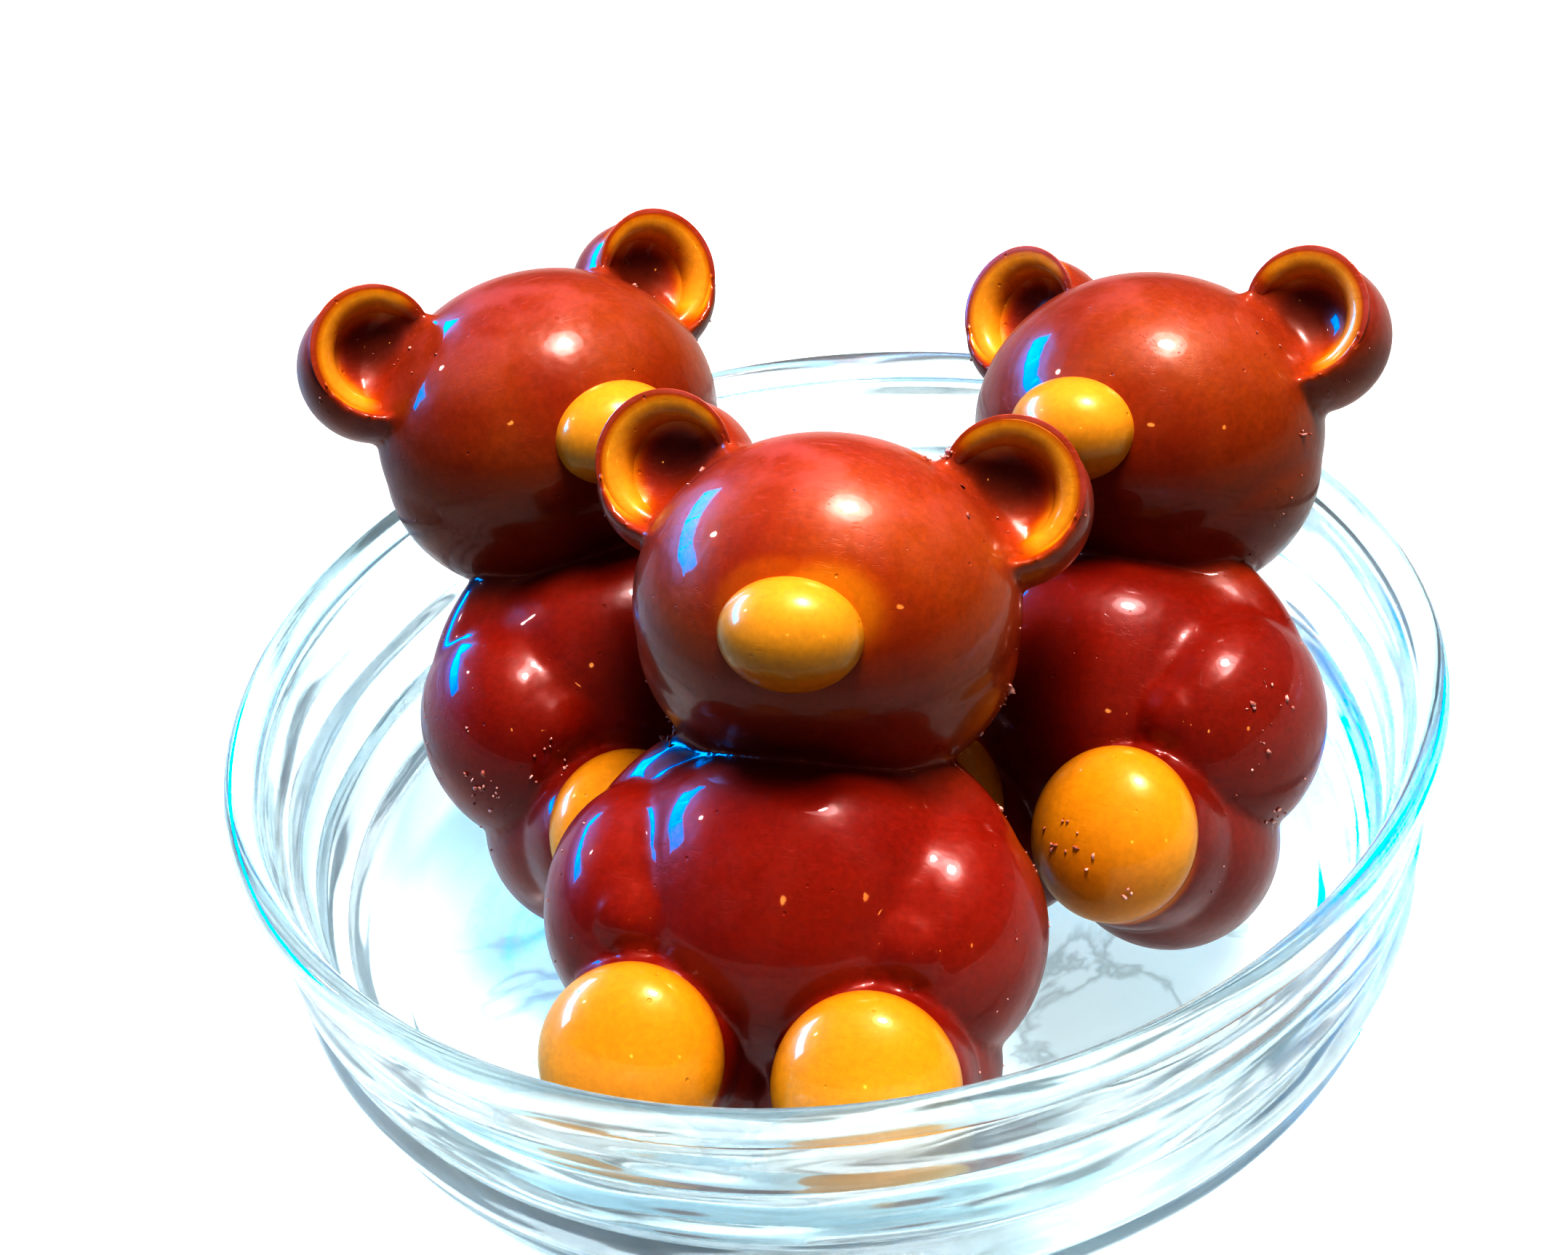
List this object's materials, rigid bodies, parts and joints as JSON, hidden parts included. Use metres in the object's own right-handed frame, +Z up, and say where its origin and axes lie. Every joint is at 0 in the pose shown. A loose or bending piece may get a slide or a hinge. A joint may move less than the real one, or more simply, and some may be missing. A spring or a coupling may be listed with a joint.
{
  "type": "chocolate bears in glass bowl",
  "caption": "Moulded milk chocolate bears with caramel snouts, paw pads and ear lips, leaning back in a small round glass bowl with a ribbed wall",
  "frame": {"origin": "centre of the bowl's flat base, at the bottom centre of the bounding box", "axes": "+Z is up; the bears face -Y; +X is to the right seen from the front"},
  "size_m": [0.1, 0.1, 0.0594],
  "materials": {
    "chocolate": "glossy reddish-brown milk chocolate",
    "caramel": "glossy ochre caramel-coloured chocolate",
    "clear_glass": "clear pressed glass with a faint blue tint"
  },
  "bodies": {
    "root": {"bowl": "clear_glass", "front_bear_body": "chocolate", "front_bear_snout": "caramel", "front_bear_left_pad": "caramel", "front_bear_right_pad": "caramel", "front_bear_left_ear_rim": "caramel", "front_bear_right_ear_rim": "caramel", "left_bear_body": "chocolate", "left_bear_snout": "caramel", "left_bear_left_pad": "caramel", "left_bear_right_pad": "caramel", "left_bear_left_ear_rim": "caramel", "left_bear_right_ear_rim": "caramel", "right_bear_body": "chocolate", "right_bear_snout": "caramel", "right_bear_left_pad": "caramel", "right_bear_right_pad": "caramel", "right_bear_left_ear_rim": "caramel", "right_bear_right_ear_rim": "caramel"}
  },
  "joints": []
}
